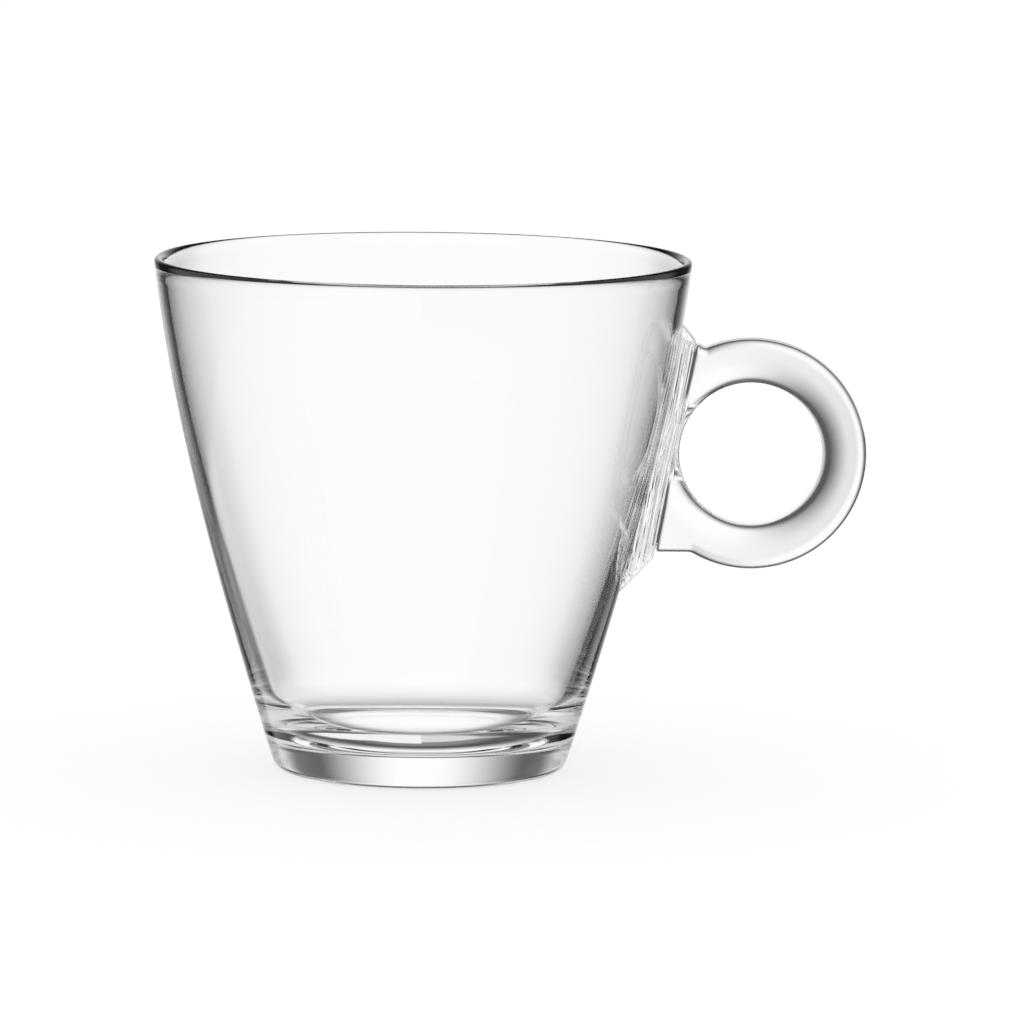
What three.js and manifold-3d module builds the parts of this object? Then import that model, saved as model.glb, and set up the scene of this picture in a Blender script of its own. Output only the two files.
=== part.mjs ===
// Glass espresso cup: a thin-walled bowl on a heavy solid base, with a ring handle welded to its wall.
// Millimetres, +Z up. The origin is the centre of the foot, and the handle points along +X.

import * as THREE from 'three';
import { mergeVertices } from 'three/addons/utils/BufferGeometryUtils.js';
import Module from 'manifold-3d';

// Bowl
const RIM_DIAMETER = 66;
const HEIGHT = 63.3;
const FOOT_DIAMETER = 35.8; // where the wall line meets the table, before its edge is rounded
const FOOT_EDGE = 1.4; // run of the rounded edge of the foot
const WALL_LEAN_AT_FOOT = 17.1; // degrees from upright
const WALL_LEAN_AT_RIM = 6.7;
const WALL_AT_RIM = 0.75; // measured level, as every wall here, and without the lip's bead
const WALL_AT_FLOOR = 3;
const WALL_SWELL = 1.6; // power at which the wall thickens downwards
const FLOOR_THICKNESS = 4.2;
const FLOOR_CORNER = 6.5; // run of the rounded corner between floor and wall

// Lip: a round bead that fades into the wall under it
const LIP_THICKNESS = 2.1;
const LIP_FADE = 8; // drop over which the bead's extra glass falls to a third

// Ring handle
const HOLE_DIAMETER = 17.6;
const RING_SECTION = 5.4; // radial, from the hole to the outside of the ring
const RING_CHEEK = 0.4; // flat left between the ring's rounded edges
const HANDLE_THICKNESS = 5;
const PARTING_BAND = 0.5; // straight band along the mould's parting line
const RING_HEIGHT = 39.5; // of the ring's centre above the table
const ROOT_TOP_DROP = 1; // top edge of the root below the top of the ring
const ROOT_BOTTOM_RISE = 2; // bottom edge of the root above the bottom of the ring
const WEB_AT_HOLE = 0.3; // least glass between the hole and the weld

// Land: the raised flat on the wall that the root is welded to
const LAND_STAND_OFF = 1.8; // from the wall to the flat, level with its top end
const LAND_LEAN = 10.6; // degrees from upright
const LAND_SIDE_MARGIN = 0.1; // of the flat beside the root
const LAND_END_MARGIN = 0.7; // of the flat above and below the root
const LAND_CORNER = 0.8;
const LAND_SIDE_SLOPE = 80; // degrees between the flat and its sides
const LAND_TOP_SLOPE = 49;
const LAND_BOTTOM_SLOPE = 34;
const LAND_DEPTH = 6; // of the land as drawn, before the wall cuts it
const WELD_GAP = 0.25;

// Facets
const ROUND_STEPS = 64;
const WALL_STEPS = 16;
const EDGE_STEPS = 5;

const rimRadius = RIM_DIAMETER / 2;
const footRadius = FOOT_DIAMETER / 2;
const lipRadius = LIP_THICKNESS / 2;
const holeRadius = HOLE_DIAMETER / 2;
const ringRadius = holeRadius + RING_SECTION;
const edgeRun = (RING_SECTION - RING_CHEEK) / 2;

const wasm = await Module();
wasm.setup();

// Solids: three.js shapes are joined and cut as closed meshes.

function solidOf(geometry) {
  const bare = geometry.clone();
  bare.deleteAttribute('normal');
  bare.deleteAttribute('uv');
  const merged = mergeVertices(bare);
  const mesh = new wasm.Mesh({
    numProp: 3,
    vertProperties: new Float32Array(merged.attributes.position.array),
    triVerts: new Uint32Array(merged.index.array),
  });
  mesh.merge();
  return new wasm.Manifold(mesh);
}

function geometryOf(solid) {
  const mesh = solid.getMesh();
  const geometry = new THREE.BufferGeometry();
  geometry.setAttribute('position', new THREE.BufferAttribute(mesh.vertProperties, 3));
  geometry.setIndex(new THREE.BufferAttribute(mesh.triVerts, 1));
  geometry.computeVertexNormals();
  return geometry;
}

function revolve(profile) {
  const geometry = new THREE.LatheGeometry(profile, ROUND_STEPS);
  return geometry.rotateX(Math.PI / 2);
}

// Wall: one curve outside, leaning more at the foot than at the rim. Its handles lie at thirds of its
// height, so height runs evenly along it. The glass thickens from the lip down to the floor.

const wallTop = HEIGHT - lipRadius;
const third = wallTop / 3;
const leanAtFoot = Math.tan(THREE.MathUtils.degToRad(WALL_LEAN_AT_FOOT));
const leanAtRim = Math.tan(THREE.MathUtils.degToRad(WALL_LEAN_AT_RIM));
const wallCurve = new THREE.CubicBezierCurve(
  new THREE.Vector2(footRadius, 0),
  new THREE.Vector2(footRadius + third * leanAtFoot, third),
  new THREE.Vector2(rimRadius - third * leanAtRim, 2 * third),
  new THREE.Vector2(rimRadius, wallTop),
);

function outerRadius(height) {
  return wallCurve.getPoint(height / wallTop).x;
}

function wallThickness(height) {
  const drop = Math.max(wallTop - height, 0);
  const swell = (drop / (wallTop - FLOOR_THICKNESS)) ** WALL_SWELL;
  const bead = Math.exp(-drop / LIP_FADE);
  return WALL_AT_RIM + (WALL_AT_FLOOR - WALL_AT_RIM) * swell + (LIP_THICKNESS - WALL_AT_RIM) * bead;
}

// A point at this share of the wall's thickness: 0 is the outside, 1 the inside.
function wallPoint(height, share) {
  return new THREE.Vector2(outerRadius(height) - share * wallThickness(height), height);
}

function wallPoints(from, to, share) {
  const points = [];
  for (let i = 0; i <= WALL_STEPS; i += 1) {
    points.push(wallPoint(THREE.MathUtils.lerp(from, to, i / WALL_STEPS), share));
  }
  return points;
}

function footEdge() {
  const curve = new THREE.QuadraticBezierCurve(
    new THREE.Vector2(footRadius - FOOT_EDGE, 0),
    new THREE.Vector2(footRadius, 0),
    wallPoint(FOOT_EDGE, 0),
  );
  return curve.getPoints(EDGE_STEPS);
}

function lipBead() {
  const bead = new THREE.Path();
  bead.absarc(rimRadius - lipRadius, wallTop, lipRadius, 0, Math.PI);
  return bead.getPoints(2 * EDGE_STEPS);
}

function floorCorner() {
  const corner = wallPoint(FLOOR_THICKNESS, 1);
  const curve = new THREE.QuadraticBezierCurve(
    wallPoint(FLOOR_THICKNESS + FLOOR_CORNER, 1),
    corner,
    new THREE.Vector2(corner.x - FLOOR_CORNER, FLOOR_THICKNESS),
  );
  return curve.getPoints(2 * EDGE_STEPS);
}

function withoutRepeats(points) {
  return points.filter((point, i) => i === 0 || point.distanceTo(points[i - 1]) > 1e-6);
}

// Weld: the flat of the land leans like the wall behind it, and everything at the root is placed by it.

const lean = THREE.MathUtils.degToRad(LAND_LEAN);
const rootTop = RING_HEIGHT + ringRadius - ROOT_TOP_DROP;
const rootBottom = RING_HEIGHT - ringRadius + ROOT_BOTTOM_RISE;
const landTop = rootTop + LAND_END_MARGIN;
const landBottom = rootBottom - LAND_END_MARGIN;
const weldOutward = new THREE.Vector3(Math.cos(lean), 0, -Math.sin(lean));
const weldUpward = new THREE.Vector3(Math.sin(lean), 0, Math.cos(lean));

function weldPoint(height) {
  const topReach = outerRadius(landTop) + LAND_STAND_OFF;
  return new THREE.Vector3(topReach - (landTop - height) * Math.tan(lean), 0, height);
}

// Carries a shape into the weld's frame: x across the wall, y up the flat, z into the wall.
function weldFrame(height) {
  const across = new THREE.Vector3(0, -1, 0);
  const frame = new THREE.Matrix4().makeBasis(across, weldUpward, weldOutward.clone().negate());
  return frame.setPosition(weldPoint(height));
}

function roundedRectangle(width, height, radius) {
  const x = width / 2 - radius;
  const y = height / 2 - radius;
  const shape = new THREE.Shape();
  shape.absarc(x, y, radius, 0, Math.PI / 2);
  shape.absarc(-x, y, radius, Math.PI / 2, Math.PI);
  shape.absarc(-x, -y, radius, Math.PI, 1.5 * Math.PI);
  shape.absarc(x, -y, radius, 1.5 * Math.PI, 2 * Math.PI);
  shape.closePath();
  return shape;
}

// How far a side at this slope, in degrees from the flat, has spread at a depth under the flat.
function spread(depth, slope) {
  return depth / Math.tan(THREE.MathUtils.degToRad(slope));
}

// The land: a flat with steep sides and sloping ends, cut off half way through the wall that it grows from.
function land() {
  const width = HANDLE_THICKNESS + 2 * LAND_SIDE_MARGIN;
  const length = (landTop - landBottom) / Math.cos(lean);
  const pad = new THREE.ExtrudeGeometry(roundedRectangle(width, length, LAND_CORNER), {
    depth: LAND_DEPTH,
    bevelEnabled: false,
    curveSegments: EDGE_STEPS,
  });
  const points = pad.attributes.position;
  for (let i = 0; i < points.count; i += 1) {
    const [x, y, depth] = [points.getX(i), points.getY(i), points.getZ(i)];
    const endSlope = y > 0 ? LAND_TOP_SLOPE : LAND_BOTTOM_SLOPE;
    points.setXY(i, x + Math.sign(x) * spread(depth, LAND_SIDE_SLOPE), y + Math.sign(y) * spread(depth, endSlope));
  }
  pad.applyMatrix4(weldFrame((landTop + landBottom) / 2));
  const core = revolve([
    new THREE.Vector2(0, 0),
    ...wallPoints(0, wallTop, 0.5),
    new THREE.Vector2(0, wallTop),
  ]);
  return solidOf(pad).subtract(solidOf(core));
}

function cupBody() {
  const profile = withoutRepeats([
    new THREE.Vector2(0, 0),
    ...footEdge(),
    ...wallPoints(FOOT_EDGE, wallTop, 0),
    ...lipBead(),
    ...wallPoints(wallTop, FLOOR_THICKNESS + FLOOR_CORNER, 1),
    ...floorCorner(),
    new THREE.Vector2(0, FLOOR_THICKNESS),
  ]);
  return geometryOf(solidOf(revolve(profile)).add(land()));
}

// Ring handle: a ring and its root drawn as one outline, with every edge rounded, and cut flat at the weld.

function handleOutline(centre) {
  const topAngle = Math.PI - Math.asin((rootTop - centre.z) / ringRadius);
  const bottomAngle = Math.PI - Math.asin((rootBottom - centre.z) / ringRadius);
  const pastWeld = weldPoint(rootBottom).x - 2 * edgeRun;
  const outline = new THREE.Shape();
  outline.moveTo(pastWeld, rootTop);
  outline.lineTo(pastWeld, rootBottom);
  outline.absarc(centre.x, centre.z, ringRadius, bottomAngle, topAngle + 2 * Math.PI);
  outline.closePath();
  const hole = new THREE.Path();
  hole.absarc(centre.x, centre.z, holeRadius, 0, 2 * Math.PI);
  outline.holes.push(hole);
  return outline;
}

function ringHandle() {
  const offset = holeRadius + WEB_AT_HOLE + WELD_GAP;
  const foot = weldPoint(RING_HEIGHT - offset * weldOutward.z);
  const centre = foot.addScaledVector(weldOutward, offset);
  const edgeDepth = (HANDLE_THICKNESS - PARTING_BAND) / 2;
  const pressed = new THREE.ExtrudeGeometry(handleOutline(centre), {
    depth: PARTING_BAND,
    bevelThickness: edgeDepth,
    bevelSize: edgeRun,
    bevelOffset: -edgeRun,
    bevelSegments: EDGE_STEPS,
    curveSegments: ROUND_STEPS / 2,
  });
  pressed.translate(0, 0, -PARTING_BAND / 2);
  pressed.rotateX(Math.PI / 2);
  const reach = 4 * ringRadius;
  const outside = new THREE.BoxGeometry(reach, reach, reach);
  outside.translate(0, 0, -reach / 2 - WELD_GAP);
  outside.applyMatrix4(weldFrame(RING_HEIGHT));
  return geometryOf(solidOf(pressed).intersect(solidOf(outside)));
}

function clearGlass() {
  return new THREE.MeshStandardMaterial({
    color: 0xeef1f0,
    roughness: 0.03,
    metalness: 0,
    transparent: true,
    opacity: 0.35,
  });
}

function piece(name, geometry) {
  const mesh = new THREE.Mesh(geometry, clearGlass());
  mesh.name = name;
  return mesh;
}

const espressoCup = new THREE.Group();
espressoCup.name = 'espresso_cup';
espressoCup.add(piece('cup_body', cupBody()));
espressoCup.add(piece('ring_handle', ringHandle()));

export default espressoCup;
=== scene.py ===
"""Looks of the glass espresso cup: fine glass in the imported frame, a studio, and the camera."""

import math

import bmesh
import bpy
from mathutils import Matrix, Vector


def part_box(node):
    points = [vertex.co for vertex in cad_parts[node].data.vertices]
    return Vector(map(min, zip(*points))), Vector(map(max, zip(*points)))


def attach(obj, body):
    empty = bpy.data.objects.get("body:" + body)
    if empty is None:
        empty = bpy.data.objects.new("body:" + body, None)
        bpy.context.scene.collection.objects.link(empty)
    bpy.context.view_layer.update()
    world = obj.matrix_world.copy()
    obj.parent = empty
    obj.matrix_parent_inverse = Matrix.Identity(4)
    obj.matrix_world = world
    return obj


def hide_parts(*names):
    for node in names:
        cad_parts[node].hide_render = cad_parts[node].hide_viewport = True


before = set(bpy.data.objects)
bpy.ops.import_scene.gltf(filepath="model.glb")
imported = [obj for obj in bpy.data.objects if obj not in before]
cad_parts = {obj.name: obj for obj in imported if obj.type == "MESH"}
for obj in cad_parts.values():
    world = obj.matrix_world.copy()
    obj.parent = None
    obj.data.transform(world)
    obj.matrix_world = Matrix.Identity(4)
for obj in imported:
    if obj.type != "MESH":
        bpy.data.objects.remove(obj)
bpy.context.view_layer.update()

MM = 0.001

# Sizes that the frame gives
BODY_LOW, BODY_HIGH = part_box("cup_body")
RING_LOW, RING_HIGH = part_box("ring_handle")
HEIGHT = BODY_HIGH.z
RIM_RADIUS = -BODY_LOW.x
LAND_EDGE = BODY_HIGH.x
RING_RADIUS = (RING_HIGH.z - RING_LOW.z) / 2
RING_CENTRE = Vector((RING_HIGH.x - RING_RADIUS, 0, (RING_HIGH.z + RING_LOW.z) / 2))
HANDLE_THICKNESS = RING_HIGH.y - RING_LOW.y

# Bowl
FOOT_RADIUS = 17.9 * MM
FOOT_EDGE = 1.4 * MM
WALL_LEAN_AT_FOOT = math.radians(17.1)
WALL_LEAN_AT_RIM = math.radians(6.7)
WALL_AT_RIM = 1.2 * MM
WALL_AT_FLOOR = 3 * MM
WALL_SWELL = 2.6
LIP_ROUNDING = 0.5 * MM
LIP_FALL = 2.1 * MM
FLOOR_THICKNESS = 4.2 * MM
FLOOR_CORNER = 6.5 * MM
BOWL_COLUMNS = 360

# Land on the wall, and the weld
LAND_TOP = 53.4 * MM
LAND_BOTTOM = 26.6 * MM
LAND_LEAN = math.radians(10.6)
LAND_HALF_WIDTH = 2.6 * MM
LAND_SIDE_SLOPE = math.radians(87)
LAND_TOP_SLOPE = math.radians(49)
LAND_BOTTOM_SLOPE = math.radians(34)
LAND_EDGE_ROUNDING = 0.2 * MM
LAND_RIPPLES = ((0.7 * MM, 0.07 * MM), (0.45 * MM, 0.03 * MM))
LAND_WANDERS = ((9, 1), (3.7, 0.5))
LAND_GAP = 0.03 * MM
LAND_DEPTH = 6 * MM
LAND_END_SHARE = 0.9
LAND_STEPS = 60
LAND_STEP_SPREAD = 1.3
LAND_ROWS = 180
WALL_CUT_START = 15 * MM

# Ring handle
HOLE_RADIUS = 8.8 * MM
HOLE_CROWN = 0.75 * MM
HOLE_CROWN_RUN = 3.2 * MM
OUTER_CROWN = 0.4 * MM
OUTER_CROWN_RUN = 1.0 * MM
HANDLE_ROUNDING = 0.9 * MM
ROOT_TOP = 52.45 * MM
ROOT_TOP_FLARE = 0.8 * MM
ROOT_FLARE_RUN = 1.5 * MM
ROOT_BOTTOM = 27.3 * MM
ROOT_FILLET = 0.2 * MM
WELD_GROOVE = 0.6 * MM
WELD_GROOVE_RUN = 0.5 * MM
WELD_OVERLAP = 0.6 * MM
HANDLE_TURNS = 480
HANDLE_STEPS = 36
SHARP_ANGLE = math.radians(40)

# Glass
WAVES_PER_METRE = 140
WAVE_HEIGHT = 0.006 * MM
WAVE_DETAIL = 3
HAZE = 0.02
HAZE_START = 0.35
HAZE_END = 0.75
GLASS_IOR = 1.52

# Camera
CAMERA_DISTANCE = 1000 * MM
CAMERA_PITCH = math.radians(7.55)
CAMERA_ROLL = math.radians(0.5)
FOCAL_PIXELS = 8185
FRAME_PIXELS = 1024
AXIS_PIXEL = Vector((421.5, 513.3))
NEAR_CLIP = 0.01
FAR_CLIP = 20

# Studio: brightness of the tent's cloth, and starts and fades as shares of the size they belong to
TENT_RADIUS = 320 * MM
TENT_HALF_HEIGHT = 590 * MM
TENT_SECTORS = 96
TENT_DARK = 0.04
WINDOW_LEFT = 106 * MM
WINDOW_RIGHT = 98 * MM
WINDOW_SOFTNESS = 0.8
WINDOW_TOP = 180 * MM
WINDOW_TOP_FADE = 0.4
WINDOW_BOTTOM = 230 * MM
WINDOW_BOTTOM_FADE = 0.55
ABOVE_WINDOW = 0.1
BELOW_WINDOW = 0.06
TENT_SIDE = 0.68
SIDE_START = 0.62
SIDE_FADE = 0.15
TENT_FRONT = 0.9
FRONT_START = 0.5
FRONT_FADE = 0.4
FRONT_GAP = 90 * MM
FRONT_GAP_FADE = 0.4
FRONT_GAP_DROP = 30 * MM
TENT_UNDER = 0.2
UNDER_START = 0.75
UNDER_FADE = 0.25
TENT_LOW = 0.9
LOW_START = 0.78
LOW_FADE = 0.05
FLAG_BOTTOM = 58 * MM
FLAG_FADE = 0.2
PAPER_GREY = 0.3
PAPER_GLOW = 0.72
FLOOR_HALF_WIDTH = 3
FLOOR_DROP = 0.05 * MM
MOST_BOUNCES = 32
GLOSSY_BOUNCES = 16


def bezier(points, share):
    """A point on the Bezier curve through the ends of points."""
    while len(points) > 1:
        points = [a.lerp(b, share) for a, b in zip(points, points[1:])]
    return points[0]


def span(start, end, count):
    """Count + 1 evenly spread numbers from start to end."""
    return [start + (end - start) * i / count for i in range(count + 1)]


def smooth_max(a, b, reach):
    """The larger of a and b, with a round blend of that reach where they meet."""
    overlap = max(reach - abs(a - b), 0) / reach
    return max(a, b) + overlap * overlap * reach / 4


def root_of(function, low, high, steps=26):
    """Where function, positive at low, turns negative before high."""
    for _ in range(steps):
        middle = (low + high) / 2
        if function(middle) > 0:
            low = middle
        else:
            high = middle
    return (low + high) / 2


# Wall of the bowl

WALL_TOP = HEIGHT - LIP_ROUNDING


def outer_radius(z):
    third = WALL_TOP / 3
    lean = [
        Vector((FOOT_RADIUS, 0)),
        Vector((FOOT_RADIUS + third * math.tan(WALL_LEAN_AT_FOOT), third)),
        Vector((RIM_RADIUS - third * math.tan(WALL_LEAN_AT_RIM), 2 * third)),
        Vector((RIM_RADIUS, WALL_TOP)),
    ]
    return bezier(lean, z / WALL_TOP).x


def wall_thickness(z):
    """Level thickness of the wall, which swells down to the floor."""
    drop = max(WALL_TOP - z, 0)
    swell = (drop / (WALL_TOP - FLOOR_THICKNESS)) ** WALL_SWELL
    return WALL_AT_RIM + (WALL_AT_FLOOR - WALL_AT_RIM) * swell


def outer_point(z):
    return Vector((outer_radius(z), z))


def inner_point(z):
    return Vector((outer_radius(z) - wall_thickness(z), z))


# Weld plane between the land and the handle

WELD_OUT = Vector((math.cos(LAND_LEAN), 0, -math.sin(LAND_LEAN)))
WELD_UP = Vector((math.sin(LAND_LEAN), 0, math.cos(LAND_LEAN)))
WELD_TOP = Vector((LAND_EDGE, 0, LAND_TOP))
LAND_HALF_LENGTH = (LAND_TOP - LAND_BOTTOM) / math.cos(LAND_LEAN) / 2
LAND_CENTRE = WELD_TOP - LAND_HALF_LENGTH * WELD_UP


def off_weld(point):
    """How far a point is outside the weld plane."""
    return (point - LAND_CENTRE).dot(WELD_OUT)


def new_piece(name, vertices, faces, material):
    mesh = bpy.data.meshes.new(name)
    mesh.from_pydata(vertices, [], faces)
    mesh.shade_smooth()
    mesh.materials.append(material)
    piece = bpy.data.objects.new(name, mesh)
    bpy.context.scene.collection.objects.link(piece)
    return piece


def lathe(rows, count):
    """Vertices and faces of a solid turned from rows, which run from the axis below to the axis above."""
    vertices = [(0, 0, rows[0].y)]
    for point in rows:
        for i in range(count):
            angle = 2 * math.pi * i / count
            vertices.append((point.x * math.cos(angle), point.x * math.sin(angle), point.y))
    vertices.append((0, 0, rows[-1].y))
    last = len(vertices) - 1
    faces = []
    for i in range(count):
        j = (i + 1) % count
        faces.append((0, 1 + j, 1 + i))
        for k in range(len(rows) - 1):
            low, high = 1 + k * count, 1 + (k + 1) * count
            faces.append((low + i, low + j, high + j, high + i))
        top = 1 + (len(rows) - 1) * count
        faces.append((top + i, top + j, last))
    return vertices, faces


def bowl_rows():
    """The bowl's profile from the middle of the underside round to the middle of the floor."""
    flat_end = FOOT_RADIUS - FOOT_EDGE
    rows = [Vector((r, 0)) for r in span(flat_end / 6, flat_end, 5)]
    foot = [Vector((flat_end, 0)), Vector((FOOT_RADIUS, 0)), outer_point(FOOT_EDGE)]
    rows += [bezier(foot, t) for t in span(0, 1, 10)[1:]]
    rows += [outer_point(z) for z in span(FOOT_EDGE, WALL_TOP, 90)[1:]]
    lip_centre = Vector((RIM_RADIUS - LIP_ROUNDING, WALL_TOP))
    lip_end = inner_point(HEIGHT - LIP_FALL)
    fall_width = lip_centre.x - lip_end.x
    turns = span(0, math.pi / 2, 18)[1:]
    rows += [lip_centre + LIP_ROUNDING * Vector((math.cos(a), math.sin(a))) for a in turns]
    rows += [lip_end + Vector((fall_width * (1 - math.sin(a)), LIP_FALL * math.cos(a))) for a in turns]
    corner_start = FLOOR_THICKNESS + FLOOR_CORNER
    rows += [inner_point(z) for z in span(lip_end.y, corner_start, 90)[1:]]
    knee = inner_point(FLOOR_THICKNESS)
    floor_edge = knee - Vector((FLOOR_CORNER, 0))
    corner = [inner_point(corner_start), knee, floor_edge]
    rows += [bezier(corner, t) for t in span(0, 1, 20)[1:]]
    rows += [Vector((r, FLOOR_THICKNESS)) for r in span(floor_edge.x, floor_edge.x / 6, 5)[1:]]
    return rows


def build_bowl(material):
    return new_piece("glass_bowl", *lathe(bowl_rows(), BOWL_COLUMNS), material)


# Land: a flat for the handle, with rippled steep sides and sloping ends, cut to the wall's outside

def land_half_width(depth, along, top):
    """Half of the land's width at this depth under its flat, where its skin starts at depth top."""
    ripples = 0
    for length, height in LAND_RIPPLES:
        wander = sum(size * math.sin(along / (run * length)) for run, size in LAND_WANDERS)
        ripples += height * math.sin(2 * math.pi * depth / length + wander)
    rest = 1 - min((depth - top) / LAND_EDGE_ROUNDING, 1)
    edge = LAND_EDGE_ROUNDING * (1 - math.sqrt(1 - rest * rest))
    return LAND_HALF_WIDTH + depth / math.tan(LAND_SIDE_SLOPE) + ripples * (1 - rest) - edge


def land_solid(material):
    vertices, faces = [], []
    low_end = LAND_HALF_LENGTH + LAND_END_SHARE * LAND_DEPTH / math.tan(LAND_BOTTOM_SLOPE)
    high_end = LAND_HALF_LENGTH + LAND_END_SHARE * LAND_DEPTH / math.tan(LAND_TOP_SLOPE)
    rows = span(-low_end, high_end, LAND_ROWS)
    for along in rows:
        slope = math.tan(LAND_TOP_SLOPE if along > 0 else LAND_BOTTOM_SLOPE)
        top = max(abs(along) - LAND_HALF_LENGTH, 0) * slope
        shares = [t ** LAND_STEP_SPREAD for t in span(0, 1, LAND_STEPS)]
        depths = [top + (LAND_DEPTH - top) * share for share in shares]
        side = [(depth, land_half_width(depth, along, top)) for depth in depths]
        loop = side + [(depth, -width) for depth, width in reversed(side)]
        for depth, across in loop:
            point = LAND_CENTRE + along * WELD_UP - depth * WELD_OUT
            vertices.append((point.x, across, point.z))
    section = 2 * LAND_STEPS + 2
    for i in range(len(rows) - 1):
        here, there = section * i, section * (i + 1)
        for k in range(section):
            m = (k + 1) % section
            faces.append((here + k, here + m, there + m, there + k))
    faces.append(tuple(range(section)))
    faces.append(tuple(section * (len(rows) - 1) + k for k in reversed(range(section))))
    return new_piece("land", vertices, faces, material)


def combine(piece, other, operation):
    """Cuts or joins other into piece, and deletes other."""
    for each in (piece, other):
        shape = bmesh.new()
        shape.from_mesh(each.data)
        bmesh.ops.recalc_face_normals(shape, faces=shape.faces)
        shape.to_mesh(each.data)
        shape.free()
    step = piece.modifiers.new(operation, "BOOLEAN")
    step.operation = operation
    step.solver = "EXACT"
    step.object = other
    graph = bpy.context.evaluated_depsgraph_get()
    result = bpy.data.meshes.new_from_object(piece.evaluated_get(graph))
    piece.modifiers.clear()
    piece.data = result
    bpy.data.objects.remove(other)


# Ring handle: a plate with crowned faces and rounded edges, in polar form round its hole

def groove(point):
    """How deep the groove along the weld is at a point of the root."""
    rest = 1 - min(max(off_weld(point), 0) / WELD_GROOVE_RUN, 1)
    return WELD_GROOVE * rest * rest


def handle_depth(point):
    """How far a point is inside the outline of the ring and its root."""
    x, z = point.x - RING_CENTRE.x, point.z
    ring = RING_RADIUS - math.hypot(x, z - RING_CENTRE.z)
    flare = ROOT_TOP_FLARE * max(1 - max(off_weld(point), 0) / ROOT_FLARE_RUN, 0)
    root = min(ROOT_TOP + flare - z, z - ROOT_BOTTOM) - groove(point)
    return smooth_max(ring, min(root, -x), ROOT_FILLET)


def handle_point(turn, radius):
    return RING_CENTRE + radius * Vector((math.cos(turn), 0, math.sin(turn)))


def crowned(depth, run, crown):
    """How far the face lies below its top at this depth inside an edge."""
    rest = 1 - min(max(depth, 0) / run, 1)
    return crown * rest * rest


def half_thickness(point, radius):
    from_hole, from_outline = radius - HOLE_RADIUS, handle_depth(point)
    hollow = max(
        crowned(from_hole, HOLE_CROWN_RUN, HOLE_CROWN),
        crowned(from_outline, OUTER_CROWN_RUN, OUTER_CROWN),
    )
    rest = 1 - min(max(min(from_hole, from_outline), 0) / HANDLE_ROUNDING, 1)
    edge = HANDLE_ROUNDING * (1 - math.sqrt(1 - rest * rest))
    return HANDLE_THICKNESS / 2 - hollow - edge - groove(point)


def build_handle(material):
    section = 2 * HANDLE_STEPS + 2
    shares = [(1 - math.cos(math.pi * t)) / 2 for t in span(0, 1, HANDLE_STEPS)]
    vertices, faces = [], []
    for i in range(HANDLE_TURNS):
        turn = 2 * math.pi * i / HANDLE_TURNS

        def inside(radius):
            point = handle_point(turn, radius)
            return min(handle_depth(point), off_weld(point) + WELD_OVERLAP)

        reach = root_of(inside, HOLE_RADIUS, 2 * RING_RADIUS)
        front = []
        for share in shares:
            radius = HOLE_RADIUS + (reach - HOLE_RADIUS) * share
            point = handle_point(turn, radius)
            front.append(point - Vector((0, half_thickness(point, radius), 0)))
        loop = front + [Vector((p.x, -p.y, p.z)) for p in reversed(front)]
        vertices += [tuple(p) for p in loop]
    for i in range(HANDLE_TURNS):
        here, there = section * i, section * ((i + 1) % HANDLE_TURNS)
        for k in range(section):
            m = (k + 1) % section
            faces.append((here + k, here + m, there + m, there + k))
    piece = new_piece("glass_handle", vertices, faces, material)
    levels = span(WALL_CUT_START, WALL_TOP, 60)
    wall = [Vector((outer_radius(z) + LAND_GAP, z)) for z in levels]
    land = land_solid(material)
    combine(land, new_piece("wall", *lathe(wall, BOWL_COLUMNS), material), "DIFFERENCE")
    combine(piece, land, "UNION")
    piece.data.shade_smooth()
    piece.data.set_sharp_from_angle(angle=SHARP_ANGLE)
    return piece


# Materials

def new_material(name):
    material = bpy.data.materials.new(name)
    material.use_nodes = True
    nodes = material.node_tree.nodes
    nodes.clear()
    return material, nodes, material.node_tree.links.new


def clear_glass():
    """Pressed soda-lime glass: clear, with a faint waviness of its skin."""
    material, nodes, link = new_material("clear_glass")
    place = nodes.new("ShaderNodeTexCoord")
    waves = nodes.new("ShaderNodeTexNoise")
    waves.inputs["Scale"].default_value = WAVES_PER_METRE
    waves.inputs["Detail"].default_value = WAVE_DETAIL
    link(place.outputs["Object"], waves.inputs["Vector"])
    bump = nodes.new("ShaderNodeBump")
    bump.inputs["Strength"].default_value = 1
    bump.inputs["Distance"].default_value = WAVE_HEIGHT
    link(waves.outputs["Fac"], bump.inputs["Height"])
    haze = nodes.new("ShaderNodeMapRange")
    haze.inputs["From Min"].default_value = HAZE_START
    haze.inputs["From Max"].default_value = HAZE_END
    haze.inputs["To Min"].default_value = 0
    haze.inputs["To Max"].default_value = HAZE
    link(waves.outputs["Fac"], haze.inputs["Value"])
    shader = nodes.new("ShaderNodeBsdfPrincipled")
    shader.inputs["Base Color"].default_value = (1, 1, 1, 1)
    shader.inputs["IOR"].default_value = GLASS_IOR
    shader.inputs["Transmission Weight"].default_value = 1
    link(haze.outputs["Result"], shader.inputs["Roughness"])
    link(bump.outputs["Normal"], shader.inputs["Normal"])
    output = nodes.new("ShaderNodeOutputMaterial")
    link(shader.outputs["BSDF"], output.inputs["Surface"])
    return material


def soft_step(nodes, link, value, edge, softness):
    """0 well below edge, 1 well above it."""
    step = nodes.new("ShaderNodeMapRange")
    step.interpolation_type = "SMOOTHSTEP"
    step.inputs["From Min"].default_value = edge - softness
    step.inputs["From Max"].default_value = edge + softness
    link(value, step.inputs["Value"])
    return step.outputs["Result"]


def math_node(nodes, link, operation, *values):
    node = nodes.new("ShaderNodeMath")
    node.operation = operation
    for socket, value in zip(node.inputs, values):
        if isinstance(value, (int, float)):
            socket.default_value = value
        else:
            link(value, socket)
    return node.outputs["Value"]


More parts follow.
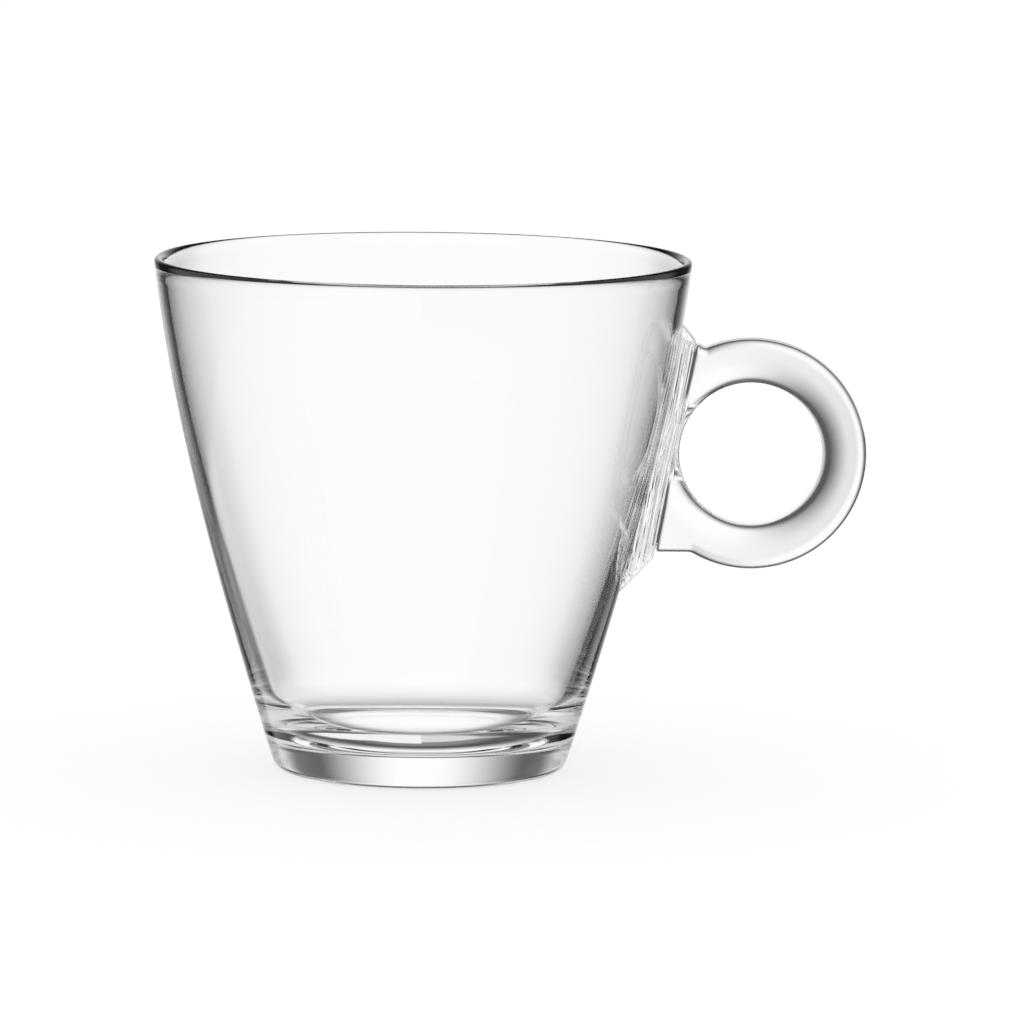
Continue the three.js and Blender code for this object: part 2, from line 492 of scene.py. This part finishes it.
def tent_material():
    """Cloth that is lit in parts, by its place in the tent: a soft white window behind the cup,
    dark flags beside it, pale sides, two paler boxes in front, and a paler part under the left flag."""
    material, nodes, link = new_material("tent_cloth")
    place = nodes.new("ShaderNodeTexCoord")
    split = nodes.new("ShaderNodeSeparateXYZ")
    link(place.outputs["Object"], split.inputs["Vector"])
    x, y, z = (split.outputs[axis] for axis in "XYZ")

    def number(operation, *values):
        return math_node(nodes, link, operation, *values)

    def step(value, edge, softness):
        return soft_step(nodes, link, value, edge, softness)

    down = number("MULTIPLY", y, -1)
    leftwards = number("MULTIPLY", x, -1 / WINDOW_LEFT)
    rightwards = number("MULTIPLY", x, 1 / WINDOW_RIGHT)
    sideways = number("MAXIMUM", leftwards, rightwards)
    lit = number("SUBTRACT", 1, step(sideways, 1, WINDOW_SOFTNESS))
    over_top = step(y, WINDOW_TOP, WINDOW_TOP * WINDOW_TOP_FADE)
    above = number("MULTIPLY_ADD", over_top, ABOVE_WINDOW - 1, 1)
    under_bottom = step(down, WINDOW_BOTTOM, WINDOW_BOTTOM * WINDOW_BOTTOM_FADE)
    below = number("MULTIPLY_ADD", under_bottom, BELOW_WINDOW - 1, 1)
    behind = number("LESS_THAN", z, 0)
    window = number("MULTIPLY", number("MULTIPLY", lit, behind), number("MULTIPLY", above, below))
    past_flags = step(z, -TENT_RADIUS * SIDE_START, TENT_RADIUS * SIDE_FADE)
    side = number("MULTIPLY", past_flags, TENT_SIDE)
    off_level = number("ABSOLUTE", number("ADD", y, FRONT_GAP_DROP))
    boxes = number("MULTIPLY", step(off_level, FRONT_GAP, FRONT_GAP * FRONT_GAP_FADE), TENT_FRONT)
    front = number("MULTIPLY", step(z, TENT_RADIUS * FRONT_START, TENT_RADIUS * FRONT_FADE), boxes)
    far_down = step(down, TENT_HALF_HEIGHT * UNDER_START, TENT_HALF_HEIGHT * UNDER_FADE)
    under = number("MULTIPLY", far_down, TENT_UNDER)
    past_window = step(z, -TENT_RADIUS * LOW_START, TENT_RADIUS * LOW_FADE)
    left = number("LESS_THAN", x, 0)
    low = number("MULTIPLY", step(down, FLAG_BOTTOM, FLAG_BOTTOM * FLAG_FADE), TENT_LOW)
    skirt = number("MULTIPLY", number("MULTIPLY", past_window, left), low)
    level = TENT_DARK
    for patch in (window, side, front, under, skirt):
        level = number("MAXIMUM", patch, level)
    light = nodes.new("ShaderNodeEmission")
    link(level, light.inputs["Strength"])
    output = nodes.new("ShaderNodeOutputMaterial")
    link(light.outputs["Emission"], output.inputs["Surface"])
    return material


def build_tent(material, camera, place):
    """A round tent about the cup, set up once, square to the photograph's view. It stands still in all views.
    Only the glass sees it: the camera, the floor and shadows don't."""
    vertices = [(0, -TENT_HALF_HEIGHT, 0), (0, TENT_HALF_HEIGHT, 0)]
    faces = []
    for j in range(TENT_SECTORS):
        angle = 2 * math.pi * j / TENT_SECTORS
        x, z = TENT_RADIUS * math.sin(angle), TENT_RADIUS * math.cos(angle)
        vertices += [(x, -TENT_HALF_HEIGHT, z), (x, TENT_HALF_HEIGHT, z)]
    for j in range(TENT_SECTORS):
        k = (j + 1) % TENT_SECTORS
        low, high = 2 + 2 * j, 3 + 2 * j
        next_low, next_high = 2 + 2 * k, 3 + 2 * k
        faces += [(low, next_low, next_high, high), (0, next_low, low), (1, high, next_high)]
    tent = new_piece("tent", vertices, faces, material)
    bpy.context.view_layer.update()
    tent.matrix_world = camera.matrix_world @ Matrix.Translation(place)
    tent.visible_camera = False
    tent.visible_diffuse = False
    tent.visible_shadow = False


def floor_material():
    """Paper that takes the cup's shadow and is white to the camera. The glass looks past it at the tent."""
    material, nodes, link = new_material("paper_floor")
    paper = nodes.new("ShaderNodeBsdfDiffuse")
    paper.inputs["Color"].default_value = (PAPER_GREY, PAPER_GREY, PAPER_GREY, 1)
    path = nodes.new("ShaderNodeLightPath")
    glow = nodes.new("ShaderNodeEmission")
    to_camera = math_node(nodes, link, "MULTIPLY", path.outputs["Is Camera Ray"], PAPER_GLOW)
    link(to_camera, glow.inputs["Strength"])
    lit_paper = nodes.new("ShaderNodeAddShader")
    link(paper.outputs["BSDF"], lit_paper.inputs[0])
    link(glow.outputs["Emission"], lit_paper.inputs[1])
    clear = nodes.new("ShaderNodeBsdfTransparent")
    reflected, refracted = path.outputs["Is Glossy Ray"], path.outputs["Is Transmission Ray"]
    by_glass = math_node(nodes, link, "MAXIMUM", reflected, refracted)
    mix = nodes.new("ShaderNodeMixShader")
    link(by_glass, mix.inputs["Fac"])
    link(lit_paper.outputs["Shader"], mix.inputs[1])
    link(clear.outputs["BSDF"], mix.inputs[2])
    output = nodes.new("ShaderNodeOutputMaterial")
    link(mix.outputs["Shader"], output.inputs["Surface"])
    return material


def build_floor(material):
    half, z = FLOOR_HALF_WIDTH, -FLOOR_DROP
    corners = [(-half, -half, z), (half, -half, z), (half, half, z), (-half, half, z)]
    floor = new_piece("floor", corners, [(0, 1, 2, 3)], material)


def build_world():
    world = bpy.data.worlds.new("studio")
    world.use_nodes = True
    background = world.node_tree.nodes["Background"]
    background.inputs["Color"].default_value = (1, 1, 1, 1)
    background.inputs["Strength"].default_value = 1
    bpy.context.scene.world = world


def build_camera():
    camera = bpy.data.objects.new("camera", bpy.data.cameras.new("camera"))
    bpy.context.scene.collection.objects.link(camera)
    camera.data.lens = camera.data.sensor_width * FOCAL_PIXELS / FRAME_PIXELS
    camera.data.clip_start, camera.data.clip_end = NEAR_CLIP, FAR_CLIP
    forward = Vector((0, math.cos(CAMERA_PITCH), -math.sin(CAMERA_PITCH)))
    level_up = Vector((0, math.sin(CAMERA_PITCH), math.cos(CAMERA_PITCH)))
    level_right = Vector((1, 0, 0))
    up = math.cos(CAMERA_ROLL) * level_up - math.sin(CAMERA_ROLL) * level_right
    right = math.cos(CAMERA_ROLL) * level_right + math.sin(CAMERA_ROLL) * level_up
    scale = CAMERA_DISTANCE / math.cos(CAMERA_PITCH) / FOCAL_PIXELS
    off_axis = (AXIS_PIXEL - Vector((FRAME_PIXELS / 2, FRAME_PIXELS / 2))) * scale
    axis_middle = Vector((0, 0, HEIGHT / 2))
    eye = axis_middle - forward * CAMERA_DISTANCE / math.cos(CAMERA_PITCH)
    eye += -off_axis.x * right + off_axis.y * up
    turn = Matrix((right, up, -forward)).transposed().to_4x4()
    camera.matrix_world = Matrix.Translation(eye) @ turn
    bpy.context.scene.camera = camera
    return camera


glass = clear_glass()
bowl = build_bowl(glass)
handle = build_handle(glass)
for piece, node in ((bowl, "cup_body"), (handle, "ring_handle")):
    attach(piece, "root")
    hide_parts(node)

camera = build_camera()
build_floor(floor_material())
build_world()
reach = CAMERA_DISTANCE / math.cos(CAMERA_PITCH)
axis_side = (AXIS_PIXEL.x - FRAME_PIXELS / 2) / FOCAL_PIXELS * reach
build_tent(tent_material(), camera, (axis_side, 0, -reach))

scene = bpy.context.scene
scene.view_settings.view_transform = "Standard"
scene.cycles.max_bounces = MOST_BOUNCES
scene.cycles.transmission_bounces = MOST_BOUNCES
scene.cycles.glossy_bounces = GLOSSY_BOUNCES
